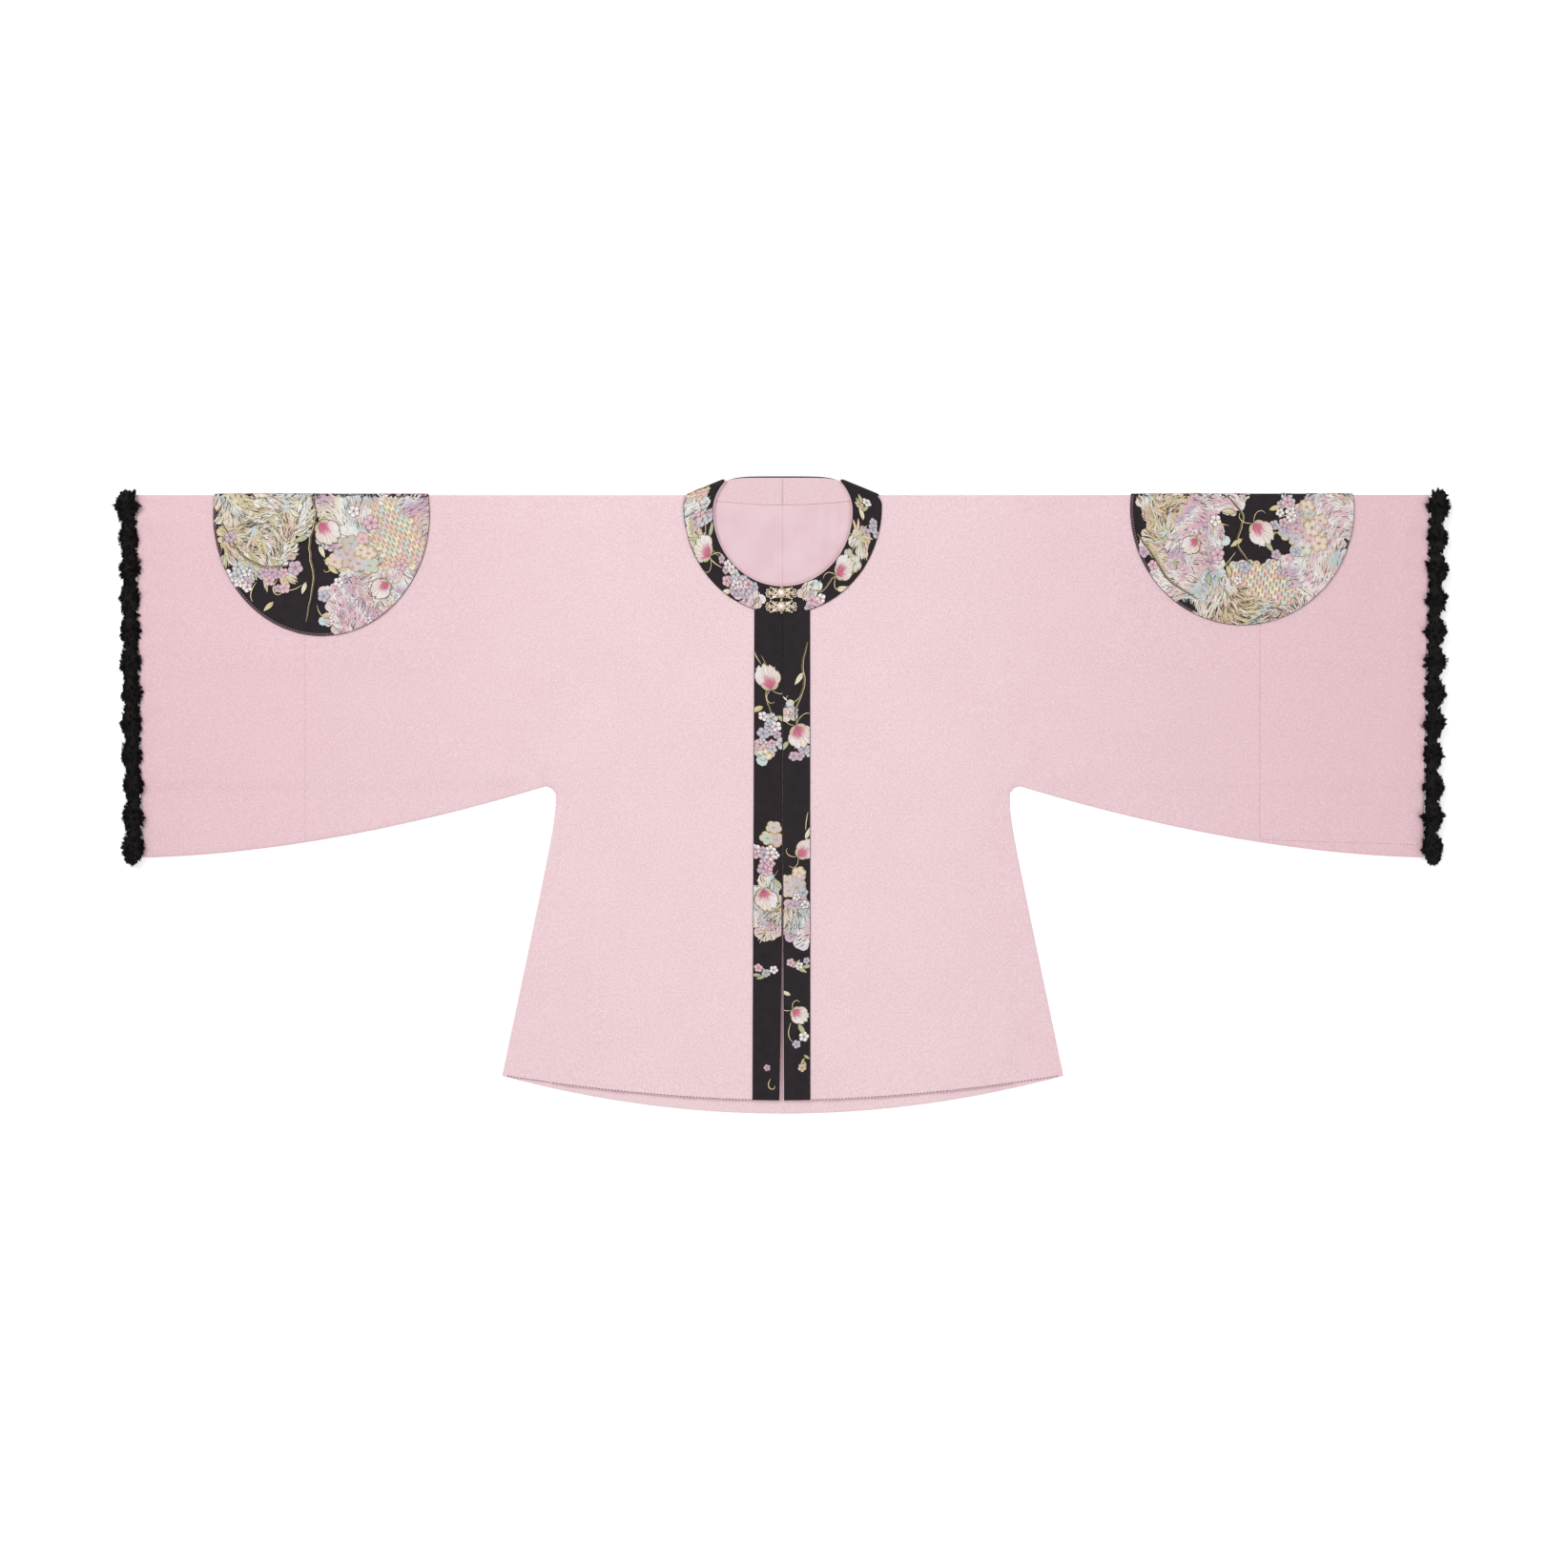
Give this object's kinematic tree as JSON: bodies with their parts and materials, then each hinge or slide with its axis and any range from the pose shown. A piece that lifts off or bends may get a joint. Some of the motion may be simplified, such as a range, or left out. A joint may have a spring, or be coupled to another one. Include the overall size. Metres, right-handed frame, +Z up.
{
  "type": "hanfu jacket",
  "caption": "Short round-necked hanfu jacket laid flat: wide pink wool sleeves, black brocade collar, front bands and shoulder roundels, black fur cuffs, pearl clasps.",
  "frame": {"origin": "on the surface the jacket lies on, under the middle of its span and length", "axes": "+X towards the wearer's left cuff, +Y towards the collar, +Z up out of the front"},
  "size_m": [1.4682, 0.7004, 0.0164],
  "materials": {
    "wool": "brushed pale pink wool",
    "lining": "smooth pale pink satin",
    "brocade": "black woven brocade with coloured flowers",
    "fur": "black fur, tied into puffs",
    "gold": "pale gold plate",
    "pearl": "cream pearl"
  },
  "bodies": {
    "root": {"body_left": "wool", "body_right": "wool", "sleeve_left": "wool", "sleeve_right": "wool", "collar_facing_left": "wool", "collar_facing_right": "wool", "lining_left": "lining", "lining_right": "lining", "collar_left": "brocade", "collar_right": "brocade", "placket_left": "brocade", "placket_right": "brocade", "roundel_left": "brocade", "roundel_right": "brocade", "fur_cuff_left": "fur", "fur_cuff_right": "fur", "clasp_upper_left": "gold", "clasp_upper_right": "gold", "clasp_lower_left": "gold", "clasp_lower_right": "gold", "pearl_upper": "pearl", "pearl_lower": "pearl"}
  },
  "joints": []
}
